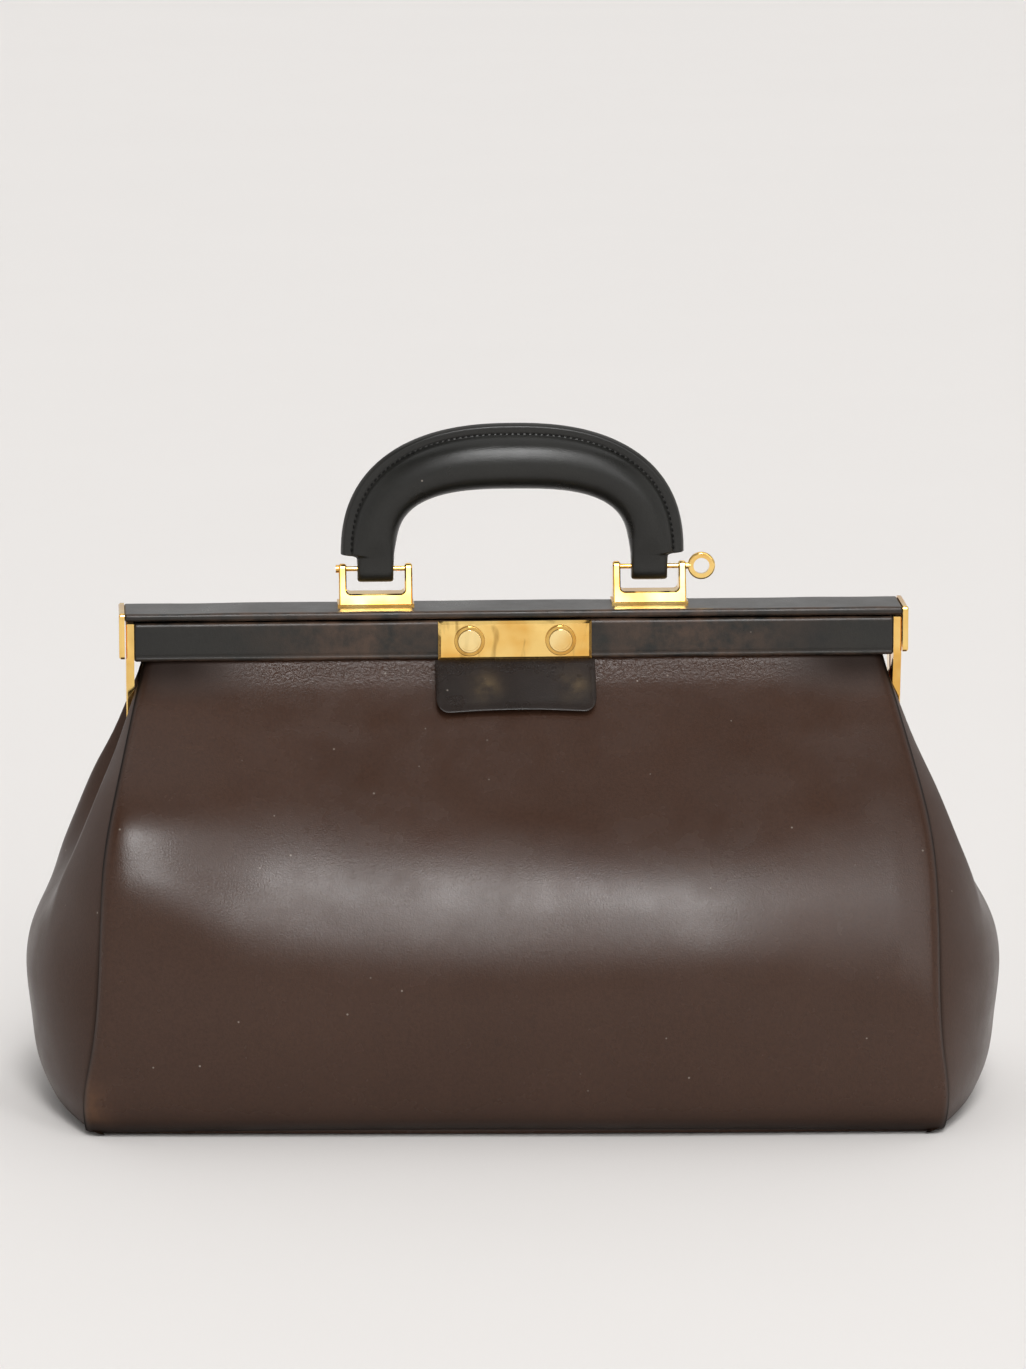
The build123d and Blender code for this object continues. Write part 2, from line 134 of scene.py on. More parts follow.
class BagColours(bpy.types.PropertyGroup):
    """Colours of the finishes"""

    brown: colour("Brown leather", "Colour of the walls", (0.0505, 0.0240, 0.0146))
    brown_deep: colour("Brown leather, deep", "Darker clouds in the walls", (0.0440, 0.0207, 0.0125))
    tan: colour("Worn brown", "Brown leather where its edges are rubbed", (0.165, 0.078, 0.036))
    black: colour("Black leather", "Colour of the handle and the bars", (0.0135, 0.0131, 0.0108))
    black_deep: colour("Black leather, deep", "Darker clouds in the black leather", (0.0085, 0.0083, 0.0070))
    rubbed: colour("Worn black", "Black leather where it is rubbed", (0.075, 0.042, 0.026))
    tab: colour("Tab leather", "Colour of the pull tab", (0.017, 0.0096, 0.0064))
    tab_deep: colour("Tab leather, deep", "Darker clouds in the pull tab", (0.0105, 0.0063, 0.0045))
    tab_worn: colour("Worn tab", "Pull tab where it is rubbed", (0.110, 0.072, 0.030))
    lining: colour("Lining", "Inside of the walls", (0.046, 0.0225, 0.0140))
    # Painted shade: this dark tone goes into the seam grooves, along the foot of the walls and onto the panel
    # under the ends of the bar
    seam: colour("Seam", "Dye and shade in the seams", (0.0075, 0.0045, 0.0032))
    thread: colour("Thread", "Thread of the stitching", (0.0030, 0.0029, 0.0027))
    gilt: colour("Gilt", "Colour of the metal fittings", (0.93, 0.64, 0.22))
    # Painted reflection: the buttons are a paler copy of the gilt, for the bright reflection on them
    button: colour("Button gilt", "Colour of the push buttons", (0.95, 0.73, 0.34))
    # Painted shade: the collars are a darker copy of the gilt, for the shaded outlines round the buttons
    collar: colour("Collar gilt", "Colour of the collars round the buttons", (0.70, 0.43, 0.12))
    steel: colour("Steel", "Colour of the hidden channels", (0.42, 0.42, 0.41))
    board: colour("Board", "Colour of the board in the base", (0.22, 0.15, 0.10))
    floor: colour("Floor", "Colour of the floor", (0.785, 0.760, 0.740))


# Numbers and grids

def spline(knots, values, at):
    """Natural cubic spline: second slopes from one linear system, then the cubic of each interval."""
    count = len(knots)
    step = np.diff(knots)
    inner = np.arange(1, count - 1)
    system = np.diag([1, *(2 * (step[:-1] + step[1:])), 1])
    system[inner, inner - 1] = step[:-1]
    system[inner, inner + 1] = step[1:]
    right = np.zeros(count)
    right[inner] = 6 * np.diff(np.diff(values) / step)
    bend = np.linalg.solve(system, right)
    place = np.clip(np.searchsorted(knots, at) - 1, 0, count - 2)
    width = step[place]
    ahead = (knots[place + 1] - at) / width
    behind = 1 - ahead
    curve = (ahead ** 3 - ahead) * bend[place] + (behind ** 3 - behind) * bend[place + 1]
    return ahead * values[place] + behind * values[place + 1] + curve * width ** 2 / 6


def spread(count, gather=0.96):
    """Steps from 0 to 1 that crowd at both ends: t less a share of sin(2 pi t) / (2 pi)."""
    even = np.linspace(0, 1, count)
    return even - gather * np.sin(2 * np.pi * even) / (2 * np.pi)


def quarter_round(distance, radius):
    """How far a rounded edge falls back, by distance from the edge: a quarter circle, then nothing."""
    short = np.clip(radius - distance, 0, radius)
    return radius - np.sqrt(np.maximum(radius ** 2 - short ** 2, 0))


def half_round(distance, radius):
    """A factor from 0 at an edge to 1 at a radius from it, along a quarter circle."""
    short = np.clip(1 - distance / radius, 0, 1)
    return np.sqrt(np.maximum(1 - short ** 2, 0))


def smooth_step(value, low, high):
    """From 0 below low to 1 above high with level ends."""
    share = np.clip((value - low) / (high - low), 0, 1)
    return share * share * (3 - 2 * share)


def bell(distance, width):
    """A smooth hump over distance: 1 at its middle and 1 / e one width away."""
    return np.exp(-(distance / width) ** 2)


def soft_max(first, second, blend):
    """The larger of two heights with a fillet between them: their mean plus half a softened difference."""
    return (first + second + np.sqrt((first - second) ** 2 + blend ** 2)) / 2


def waves(x, z, seed, size, count=9):
    """Smooth uneven relief of about unit height: a sum of sine waves in random directions."""
    random = np.random.default_rng(seed)
    total = np.zeros(np.broadcast(x, z).shape)
    for turn, phase, stretch in zip(
        random.uniform(0, np.pi, count), random.uniform(0, 2 * np.pi, count), random.uniform(0.6, 1.7, count),
    ):
        total += np.sin((x * np.cos(turn) + z * np.sin(turn)) * 2 * np.pi / (size * stretch) + phase)
    return total / math.sqrt(count)


def joined(x, y, z):
    """Coordinates stretched to one shape and put together as points."""
    return np.stack(np.broadcast_arrays(x, y, z), axis=-1)


def grid_normals(points):
    """Unit normals of a grid of points: the cross product of its two slopes."""
    normals = np.cross(np.gradient(points, axis=1), np.gradient(points, axis=0))
    return normals / np.maximum(np.linalg.norm(normals, axis=2, keepdims=True), 1e-12)


def grid_faces(index):
    """Four corners of each cell of a grid of vertex numbers."""
    corners = (index[:-1, :-1], index[:-1, 1:], index[1:, 1:], index[1:, :-1])
    return np.stack(corners, axis=-1).reshape(-1, 4)


def ring_faces(rows, columns):
    """Vertex numbers of a stack of closed rings, and four corners of each cell between them."""
    index = np.arange(rows * columns).reshape(rows, columns)
    return index, grid_faces(np.concatenate([index, index[:, :1]], axis=1))


def shell(outer, inner):
    """A closed skin of two grids that meet along their border: points, faces, a mark of the inner ones."""
    rows, columns = outer.shape[:2]
    front = np.arange(rows * columns).reshape(rows, columns)
    back = front.copy()
    back[1:-1, 1:-1] = rows * columns + np.arange((rows - 2) * (columns - 2)).reshape(rows - 2, columns - 2)
    points = np.concatenate([outer.reshape(-1, 3), inner[1:-1, 1:-1].reshape(-1, 3)])
    faces = np.concatenate([grid_faces(front), grid_faces(back)[:, ::-1]])
    inside = np.concatenate([np.zeros(rows * columns), np.ones((rows - 2) * (columns - 2))])
    return points, faces, inside


def tube(rings):
    """A closed skin round a stack of closed rings of points, with a flat face on each end."""
    index, faces = ring_faces(*rings.shape[:2])
    return rings.reshape(-1, 3), faces.tolist() + [index[0, ::-1].tolist(), index[-1].tolist()]


def add_piece(name, points, faces, material, **attributes):
    """Puts points and faces into a smooth mesh with float attributes, as an object at the origin."""
    mesh = bpy.data.meshes.new(name)
    mesh.from_pydata(np.asarray(points).tolist(), [], faces if isinstance(faces, list) else faces.tolist())
    mesh.shade_smooth()
    for key, values in attributes.items():
        layer = mesh.attributes.new(key, "FLOAT", "POINT")
        layer.data.foreach_set("value", np.asarray(values, dtype=np.float32).ravel())
    mesh.materials.append(material)
    piece = bpy.data.objects.new(name, mesh)
    bpy.context.scene.collection.objects.link(piece)
    return piece


# Materials

def feed(tree, node, inputs):
    """Sets the inputs of a node, and links those that are given as sockets."""
    for name, value in inputs.items():
        if isinstance(value, bpy.types.NodeSocket):
            tree.links.new(value, node.inputs[name])
        else:
            node.inputs[name].default_value = value


def add(tree, kind, inputs=None, **settings):
    """Adds a node with its properties and its inputs."""
    made = tree.nodes.new(kind)
    for name, value in settings.items():
        setattr(made, name, value)
    feed(tree, made, inputs or {})
    return made


def noise(tree, where, scale, detail=3.0, roughness=0.55, distortion=0.0):
    """Noise of a scale per metre."""
    return add(tree, "ShaderNodeTexNoise", {
        "Vector": where, "Scale": scale, "Detail": detail, "Roughness": roughness, "Distortion": distortion,
    }).outputs["Fac"]


def stretched(tree, where, scale, turn=(0.0, 0.0, 0.0)):
    """Coordinates drawn out along an axis, for streaks and scratches."""
    inputs = {"Vector": where, "Scale": scale, "Rotation": turn}
    return add(tree, "ShaderNodeMapping", inputs).outputs["Vector"]


def between(tree, value, low, high, start=0.0, end=1.0):
    """Takes a value from one range to another, held at both ends."""
    inputs = {"Value": value, "From Min": low, "From Max": high, "To Min": start, "To Max": end}
    return add(tree, "ShaderNodeMapRange", inputs).outputs["Result"]


def mixed(tree, share, first, second):
    """A colour between two others."""
    sides = [value if isinstance(value, bpy.types.NodeSocket) else (*value, 1.0) for value in (first, second)]
    return add(tree, "ShaderNodeMix", {0: share, 6: sides[0], 7: sides[1]}, data_type="RGBA").outputs[2]


def product(tree, first, second):
    """Two values multiplied."""
    return add(tree, "ShaderNodeMath", {0: first, 1: second}, operation="MULTIPLY").outputs[0]


def total(tree, first, second):
    """Two values added and held below 1."""
    return add(tree, "ShaderNodeMath", {0: first, 1: second}, operation="ADD", use_clamp=True).outputs[0]


def attribute(tree, name):
    """A float attribute of the mesh."""
    return add(tree, "ShaderNodeAttribute", attribute_name=name).outputs["Fac"]


def bump(tree, height, strength, distance, under=None):
    """A normal raised by a height, over another normal if there is one."""
    inputs = {"Height": height, "Strength": strength, "Distance": distance}
    if under is not None:
        inputs["Normal"] = under
    return add(tree, "ShaderNodeBump", inputs).outputs["Normal"]


def scaled(tone, factor):
    """A colour made darker or lighter, held below 1."""
    return tuple(min(factor * value, 1.0) for value in tone)


def leather(tree, where, base, deep, worn, roughness, gloss):
    """Smooth waxed leather: clouds of colour, scuffs, specks, worn edges, painted shade from the seam mark,
    fine grain and pressed wrinkles.
    """
    tones = bpy.context.scene.bag_colours
    clouds = between(tree, noise(tree, where, 16.0, 5.0, 0.6), 0.36, 0.66)
    tint = mixed(tree, clouds, deep, base)
    mottle = between(tree, noise(tree, where, 800.0, 3.0, 0.65), 0.38, 0.68, 0.0, 0.35)
    tint = mixed(tree, mottle, tint, scaled(deep, 0.45))
    level = noise(tree, stretched(tree, where, (22.0, 22.0, 190.0), (0.0, 0.45, 0.0)), 1.0, 4.0, 0.6)
    steep = noise(tree, stretched(tree, where, (170.0, 60.0, 24.0), (0.0, -0.30, 0.0)), 1.0, 4.0, 0.6)
    level_scuffs = between(tree, level, 0.66, 0.80, 0.0, 0.06)
    steep_scuffs = between(tree, steep, 0.68, 0.82, 0.0, 0.05)
    tint = mixed(tree, total(tree, level_scuffs, steep_scuffs), tint, worn)
    cells = add(tree, "ShaderNodeTexVoronoi", {"Vector": where, "Scale": 330.0, "Randomness": 1.0})
    draw = add(tree, "ShaderNodeSeparateColor", {"Color": cells.outputs["Color"]}).outputs[0]
    chosen = between(tree, draw, 0.985, 0.99)
    speck = product(tree, between(tree, cells.outputs["Distance"], 0.10, 0.16, 1.0, 0.0), chosen)
    tint = mixed(tree, product(tree, speck, 0.35), tint, (0.5, 0.44, 0.38))
    patches = between(tree, noise(tree, where, 120.0, 5.0, 0.65), 0.34, 0.62)
    wear = product(tree, attribute(tree, "wear"), patches)
    seam = attribute(tree, "seam")
    inside = attribute(tree, "inside")
    tint = mixed(tree, wear, tint, worn)
    # Painted shade: where the seam mark is high the tint goes to the dark seam colour
    tint = mixed(tree, seam, tint, tones.seam)
    tint = mixed(tree, inside, tint, tones.lining)
    shine = between(tree, noise(tree, where, 42.0, 4.0, 0.6), 0.3, 0.7, roughness - 0.05, roughness + 0.06)
    for mark, share in ((wear, 0.12), (seam, 0.35), (inside, 0.10)):
        shine = total(tree, shine, product(tree, mark, share))
    fine = bump(tree, noise(tree, where, 1500.0, 3.0, 0.6), 0.16, 0.4 * MM)
    pebble = noise(tree, stretched(tree, where, (0.9, 1.0, 1.2)), 760.0, 3.0, 0.6, 0.4)
    return {
        "Base Color": tint,
        "Roughness": shine,
        "Specular IOR Level": between(tree, seam, 0.0, 1.0, gloss, 0.04),
        "Normal": bump(tree, pebble, attribute(tree, "crease"), 1.0 * MM, fine),
    }


def polished_gilt(tree, where, tone, reflection_streaks, waviness, swell):
    """Polished plated metal: warm clouds, dark streaks of painted reflection, hairlines and a face that is a
    little wavy.
    """
    clouds = between(tree, noise(tree, where, 55.0, 3.0, 0.5), 0.40, 0.60)
    warm = (tone[0] * 0.88, tone[1] * 0.72, tone[2] * 0.50)
    tint = mixed(tree, clouds, tone, warm)
    # Painted reflection: dark streaks in the colour stand in for dark surroundings mirrored in the polished
    # face
    streaks = noise(tree, stretched(tree, where, (150.0, 40.0, 28.0), (0.0, 0.35, 0.0)), 1.0, 3.0, 0.5, 0.8)
    tint = mixed(tree, between(tree, streaks, 0.60, 0.72, 0.0, reflection_streaks), tint, scaled(warm, 0.35))
    hair = noise(tree, stretched(tree, where, (60.0, 900.0, 1500.0), (0.2, 0.35, 0.15)), 1.0, 3.0, 0.6)
    shine = between(tree, noise(tree, where, 160.0, 4.0, 0.65), 0.3, 0.75, 0.05, 0.12)
    shine = total(tree, shine, between(tree, hair, 0.62, 0.75, 0.0, 0.16))
    dents = bump(tree, noise(tree, where, waviness, 1.5, 0.4), 0.5, swell)
    lines = bump(tree, hair, 0.03, 0.2 * MM, dents)
    return {"Base Color": tint, "Metallic": 1.0, "Roughness": shine, "Normal": lines}


def brushed_steel(tree, where, tone):
    """Rolled steel of the hidden channels: fine lines along the bar and dull clouds."""
    lines = noise(tree, stretched(tree, where, (12.0, 900.0, 900.0)), 1.0, 4.0, 0.6)
    return {
        "Base Color": mixed(tree, between(tree, lines, 0.3, 0.7), scaled(tone, 0.55), tone),
        "Metallic": 1.0,
        "Roughness": between(tree, lines, 0.3, 0.7, 0.28, 0.46),
    }


def pressed_board(tree, where, tone):
    """Cloth-faced board: a fine weave of two crossed waves over a mottled tone."""
    threads = {"Vector": where, "Scale": 260.0, "Distortion": 0.6}
    warp = add(tree, "ShaderNodeTexWave", threads, bands_direction="X").outputs["Fac"]
    weft = add(tree, "ShaderNodeTexWave", threads, bands_direction="Y").outputs["Fac"]
    weave = product(tree, warp, weft)
    tint = mixed(tree, weave, scaled(tone, 0.6), tone)
    return {"Base Color": tint, "Roughness": 0.85, "Normal": bump(tree, weave, 0.4, 0.4 * MM)}


def waxed_thread(tree, where, tone):
    """Twisted waxed thread: fine diagonal strands."""
    strand = noise(tree, stretched(tree, where, (1800.0, 1800.0, 600.0), (0.3, 0.7, 0.2)), 1.0, 2.0)
    tint = mixed(tree, strand, tone, scaled(tone, 2.2))
    rise = bump(tree, strand, 0.3, 0.2 * MM)
    return {"Base Color": tint, "Roughness": 0.60, "Specular IOR Level": 0.15, "Normal": rise}


def paper(tree, where, tone):
    """Matt paper of the floor, with faint clouds."""
    tint = mixed(tree, noise(tree, where, 6.0, 3.0), tone, scaled(tone, 1.02))
    return {"Base Color": tint, "Roughness": 0.75, "Specular IOR Level": 0.15}


# Finishes: what makes each, its colours, then roughness and gloss or painted reflection streaks, waves per
# metre and swell
FINISHES = {
    "brown_hide": (leather, ("brown", "brown_deep", "tan"), 0.25, 0.30),
    "gusset_hide": (leather, ("brown", "brown_deep", "tan"), 0.33, 0.15),
    "black_hide": (leather, ("black", "black_deep", "rubbed"), 0.30, 0.42),
    "tab_hide": (leather, ("tab", "tab_deep", "tab_worn"), 0.28, 0.27),
    "gilt_metal": (polished_gilt, ("gilt",), 0.25, 110.0, 0.2 * MM),
    "clasp_gilt": (polished_gilt, ("gilt",), 0.75, 75.0, 2.2 * MM),
    "button_gilt": (polished_gilt, ("button",), 0.15, 110.0, 0.4 * MM),
    "collar_gilt": (polished_gilt, ("collar",), 0.60, 160.0, 0.6 * MM),
    "channel_steel": (brushed_steel, ("steel",)),
    "faced_board": (pressed_board, ("board",)),
    "thread": (waxed_thread, ("thread",)),
    "floor": (paper, ("floor",)),
}


def finish_named(name):
    """The finish of that name, made on first use in Object coordinates."""
    found = bpy.data.materials.get(name)
    if found:
        return found
    make, keys, *numbers = FINISHES[name]
    tones = [getattr(bpy.context.scene.bag_colours, key) for key in keys]
    material = bpy.data.materials.new(name)
    material.use_nodes = True
    tree = material.node_tree
    where = add(tree, "ShaderNodeTexCoord").outputs["Object"]
    feed(tree, tree.nodes["Principled BSDF"], make(tree, where, *tones, *numbers))
    return material


# Leather walls

# Lap of a panel over the mouth, and inset of the edge of a gusset from the seam
PANEL_LAP, GUSSET_INSET = 0.6 * MM, 1.0 * MM

# Powers of the twist, the bulge and the pleat
TWIST_POWER, BULGE_POWER, PLEAT_POWER = 1.4, 2.2, 1.5

# Left shoulder: place along x, half width, heights it grows over, how near the mouth it fades
SHOULDER_PLACE, SHOULDER_WIDTH = -160 * MM, 48 * MM
SHOULDER_HEIGHTS = (45 * MM, 105 * MM)
SHOULDER_FADE = (4 * MM, 60 * MM)

# Face of a panel: margins of the swells at the seams and the mouth, then unevenness and its size
SWELL_MARGIN, SWELL_TOP = 18 * MM, 30 * MM
UNEVEN, UNEVEN_SIZE = 0.30 * MM, 0.12

# Upper panel: how far it fills out, then falls back to the mouth, and between which heights
FILL, FALL = 1.4 * MM, 2.4 * MM
FILL_HEIGHTS = (95 * MM, 152 * MM)
FALL_HEIGHTS = (152 * MM, 177 * MM)

# Width over which a side edge falls back, and how fast the lift of the foot fades
EDGE_FALL_WIDTH, LIFT_FADE = 12 * MM, 9


def wall_levels(sizes, height):
    """Depth, reach, crown, bulge, pleat and ridge of the walls at each height, by splines of their shares."""
    knots = WALL_SHARES[:, 0]
    depth, width, crown, bulge, pleat, ridge = (spline(knots, column, height) for column in WALL_SHARES.T[1:])
    seam = (sizes.mouth_depth + (sizes.body_depth - sizes.mouth_depth) * depth) / 2
    reach = sizes.mouth_reach + sizes.panel_flare * width
    crown = sizes.panel_crown * crown
    bulge = sizes.gusset_bulge * bulge
    pleat = sizes.pleat_depth * pleat
    return seam, reach, crown, bulge, pleat, ridge


def front_depth(sizes, height, x):
    """Seam depth and crown of the front: those of a lower level near the left seam, where it is fuller.

    The level drops by the shoulder times a bell over x, and not at all near the foot and the mouth."""
    z = height * sizes.mouth
    drop = bell(x - SHOULDER_PLACE, SHOULDER_WIDTH)
    drop = drop * smooth_step(z, *SHOULDER_HEIGHTS) * smooth_step(sizes.mouth - z, *SHOULDER_FADE)
    levels = wall_levels(sizes, height - drop * sizes.shoulder / sizes.mouth)
    return levels[0], levels[2]


def twisted(sizes, points):
    """Turns each point about the upright axis, most at the foot and not at all at the mouth."""
    share = np.clip(1 - points[..., 2] / sizes.mouth, 0, 1) ** TWIST_POWER
    turn = sizes.twist * share
    x = points[..., 0] * np.cos(turn) - points[..., 1] * np.sin(turn)
    y = points[..., 0] * np.sin(turn) + points[..., 1] * np.cos(turn)
    return np.stack([x, y, points[..., 2]], axis=-1)


def panel_grid(sizes, swells, shouldered, rows=190, columns=170):
    """Front panel: x runs seam to seam, y is the seam depth and a parabola of crown, z the height.

    The side edges and the foot fall back on quarter circles, and soft swells stand out from the face."""
    across = (2 * spread(columns) - 1)[None, :]
    height = spread(rows, 0.9)[:, None]
    seam, reach, crown = wall_levels(sizes, height)[:3]
    x = across * reach
    if shouldered:
        seam, crown = front_depth(sizes, height, x)
    margin = reach - np.abs(x)
    top = sizes.mouth + PANEL_LAP
    rise = sizes.foot + (top - sizes.foot) * height
    z = rise + sizes.foot_lift * (1 - across ** 2) * np.exp(-height * LIFT_FADE)
    relief = UNEVEN * waves(x, z, 4, UNEVEN_SIZE)
    for place_x, place_z, wide, tall, out in swells * MM:
        relief += out * bell(x - place_x, wide) * bell(z - place_z, tall)
    relief = relief * smooth_step(margin, 0, SWELL_MARGIN) * smooth_step(sizes.mouth - z, 0, SWELL_TOP)
    relief = relief + FILL * smooth_step(z, *FILL_HEIGHTS) - FALL * smooth_step(z, *FALL_HEIGHTS)
    y = -seam - crown * (1 - across ** 2) - relief
    y = y + quarter_round(margin, sizes.edge_roll) + quarter_round(rise - sizes.foot, sizes.foot_roll)
    y = y + sizes.edge_fall * np.clip(1 - margin / EDGE_FALL_WIDTH, 0, 1) ** 3
    outer = joined(x, y, z)
    edge = np.minimum(margin, np.minimum(rise - sizes.foot, top - rise))
    wall = sizes.leather * half_round(edge, 2 * sizes.leather)
    inner = outer - grid_normals(outer) * wall[..., None]
    return outer, inner


def gusset_grid(sizes, shouldered, rows=150, columns=121):
    """Right gusset: share runs seam to seam, x is the reach and a bulge less the pleat between two ridges.

    The bulge is one less a power of the share, and the pleat a hollow of another power inside the ridge."""
    share = np.linspace(-1, 1, columns)[None, :]
    height = spread(rows, 0.8)[:, None]
    seam, reach, *_, bulge, pleat, ridge = wall_levels(sizes, height)
    hollow = np.maximum(1 - (share / ridge) ** 2, 0) ** PLEAT_POWER
    z = sizes.foot + (sizes.mouth - sizes.foot) * height + np.zeros_like(share)
    x = reach - GUSSET_INSET + bulge * (1 - np.abs(share) ** BULGE_POWER) - pleat * hollow
    x = x - quarter_round(z - sizes.foot, sizes.foot_roll)
    if shouldered:
        seam = np.where(share < 0, front_depth(sizes, height, -reach)[0], seam)
    y = share * (seam - sizes.leather - sizes.seam_gap)
    outer = joined(x, y, z)
    normals = grid_normals(outer)
    edge = np.minimum(z - sizes.foot, sizes.mouth - z)
    ends = np.minimum(1 - np.abs(share), np.abs(share)) * seam
    wall = sizes.leather * half_round(np.minimum(edge, ends), sizes.leather)
    inner = outer - normals * wall[..., None]
    return outer, inner, normals


def panel_marks(sizes, points):
    """Wear of a panel along its foot and at a corner, the wrinkles under the bar, and painted shade in its
    seam grooves, along its foot and under the ends of the bar.
    """
    x, z = points[:, 0], points[:, 2]
    reach = wall_levels(sizes, np.clip(z / sizes.mouth, 0, 1))[1]
    # Painted shade in the seam mark: the bar's shadow at both ends near the mouth, the shade in the side seam
    # grooves and the contact shade along the foot
    ends = smooth_step(np.abs(x), 90 * MM, 135 * MM) * smooth_step(z, 160 * MM, 176 * MM)
    seam = bell(reach - np.abs(x), 0.8 * MM) + 0.90 * bell(z, 8 * MM) + 0.8 * ends
    corner = bell(x + reach, 9 * MM) * bell(z - 10 * MM, 14 * MM)
    wear = 0.10 * bell(z, 5 * MM) + 0.45 * corner
    band = bell(sizes.mouth - z - 3.5 * MM, 4.5 * MM)
    crease = 0.45 * band * smooth_step(sizes.mouth_reach - np.abs(x), 15 * MM, 60 * MM)
    return np.clip(wear, 0, 1), crease, np.clip(seam, 0, 1)


def gusset_marks(sizes, points, shouldered):
    """Wear of a gusset along its foot, and painted shade in the seam groove along its edge and along its
    foot.
    """
    y, z = points[:, 1], points[:, 2]
    height = np.clip(z / sizes.mouth, 0, 1)
    depth, reach = wall_levels(sizes, height)[:2]
    if shouldered:
        depth = front_depth(sizes, height, -reach)[0]
    # Painted shade in the seam mark: the groove at the edge and the contact shade at the foot
    seam = bell(depth - sizes.leather - np.abs(y), 1.8 * MM) + 0.8 * bell(z, 7 * MM)
    return 0.25 * bell(z, 5 * MM), np.clip(seam, 0, 1)


def front_fold(piece):
    """Bakes the transform of a front wall into its mesh."""
    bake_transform(piece)


def rear_fold(piece):
    """Bakes the transform of a rear wall into its mesh."""
    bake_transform(piece)


def mirror_grid(points, axis):
    """A grid mirrored across an axis, its columns turned round so that its faces still point outwards."""
    flip = np.ones(3)
    flip[axis] = -1
    return points[:, ::-1] * flip


class BAG_OT_panels(bpy.types.Operator):
    """Front and back leather panels with rolled edges"""

    bl_idname = "bag.panels"
    bl_label = "Panels"

    def execute(self, context):
        sizes = context.scene.bag_sizes
        for name, node, swells, fold in (
            ("front_wall", "front_panel", PANEL_SWELLS, front_fold),
            ("back_wall", "back_panel", PANEL_SWELLS * (-1, 1, 1, 1, 0.5), rear_fold),
        ):
            outer, inner = panel_grid(sizes, swells, node == "front_panel")
            if node == "back_panel":
                outer, inner = mirror_grid(outer, 1), mirror_grid(inner, 1)
            points, faces, inside = shell(outer, inner)
            wear, crease, seam = panel_marks(sizes, points)
            # The seam mark carries painted shade: seam grooves, foot and the ends under the bar
            piece = add_piece(
                name, twisted(sizes, points), faces, finish_named("brown_hide"),
                wear=wear, crease=crease, seam=seam, inside=inside,
            )
            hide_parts(node)
            fold(piece)
        return {"FINISHED"}


class BAG_OT_gussets(bpy.types.Operator):
    """Pleated leather gussets, each in a front and a rear half that meet in the fold"""

    bl_idname = "bag.gussets"
    bl_label = "Gussets"

    def execute(self, context):
        sizes = context.scene.bag_sizes
        for side, flip in (("right", False), ("left", True)):
            outer, inner, normals = gusset_grid(sizes, flip)
            middle = outer.shape[1] // 2
            for half, columns, fold in (
                ("front", slice(0, middle + 1), front_fold), ("rear", slice(middle, None), rear_fold),
            ):
                skins = [grid[:, columns] for grid in (outer, inner, normals)]
                if flip:
                    skins = [mirror_grid(grid, 0) for grid in skins]
                points, faces, inside = shell(skins[0], skins[1])
                wear, seam = gusset_marks(sizes, points, flip and half == "front")
                # The seam mark carries painted shade: the seam groove and the foot
                piece = add_piece(
                    f"{side}_gusset_{half}", twisted(sizes, points), faces, finish_named("gusset_hide"),
                    wear=wear, seam=seam, inside=inside,
                )
                facing = np.zeros((len(faces) * 4, 3))
                outside = len(faces) // 2
                facing[:outside * 4] = skins[2].reshape(-1, 3)[faces[:outside].ravel()]
                piece.data.normals_split_custom_set(facing.tolist())
                if half == "rear":
                    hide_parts(f"{side}_gusset")
                fold(piece)
        return {"FINISHED"}


class BAG_OT_base(bpy.types.Operator):
    """Leather bottom between the walls"""

    bl_idname = "bag.base"
    bl_label = "Base"

    def execute(self, context):
        """A flat skin on a square of two shares, its four sides bowed by parabolas, its edge half round."""
        sizes = context.scene.bag_sizes
        seam, reach, crown, bulge = wall_levels(sizes, np.zeros(1))[:4]
        across = (2 * spread(90) - 1)[None, :]
        along = (2 * spread(50) - 1)[:, None]
        inset = sizes.leather + sizes.seam_gap + sizes.foot_roll * 0.5
        x = across * (reach - inset + 0.7 * bulge * (1 - along ** 2))
        y = along * (seam - inset + crown * (1 - across ** 2))
        edge = np.minimum((1 - np.abs(across)) * reach, (1 - np.abs(along)) * seam)
        middle = 1.5 * MM
        half = middle * half_round(edge, middle)
        top = joined(x, y, middle + half)
        low = joined(x, y, middle - half)
        points, faces, inside = shell(low[:, ::-1], top[:, ::-1])
        points = twisted(sizes, points)
        piece = add_piece("base_leather", points, faces, finish_named("brown_hide"), inside=inside)
        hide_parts("base_panel")
        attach(piece, "body")
        return {"FINISHED"}


# Bars and tab

def bar_profile(low, high, radius):
    """A closed ring of a rounded rectangle with its normals: four divided flats and four quarter arcs."""
    turn = np.linspace(0, np.pi / 2, 8)
    centre = (low + high) / 2
    half = (high - low) / 2 - radius
    corners = []
    for corner, sides in enumerate(((1, -1), (1, 1), (-1, 1), (-1, -1))):
        angle = turn + (corner - 1) * np.pi / 2
        normals = np.stack([np.cos(angle), np.sin(angle)], axis=-1)
        corners.append((centre + half * sides + radius * normals, normals))
    steps = np.linspace(0, 1, 22)[1:-1, None]
    ring, facing = [], []
    for (points, normals), (ahead, _) in zip(corners, corners[1:] + corners[:1]):
        ring += [points, points[-1] + (ahead[0] - points[-1]) * steps]
        facing += [normals, np.repeat(normals[-1:], len(steps), axis=0)]
    return np.concatenate(ring), np.concatenate(facing)


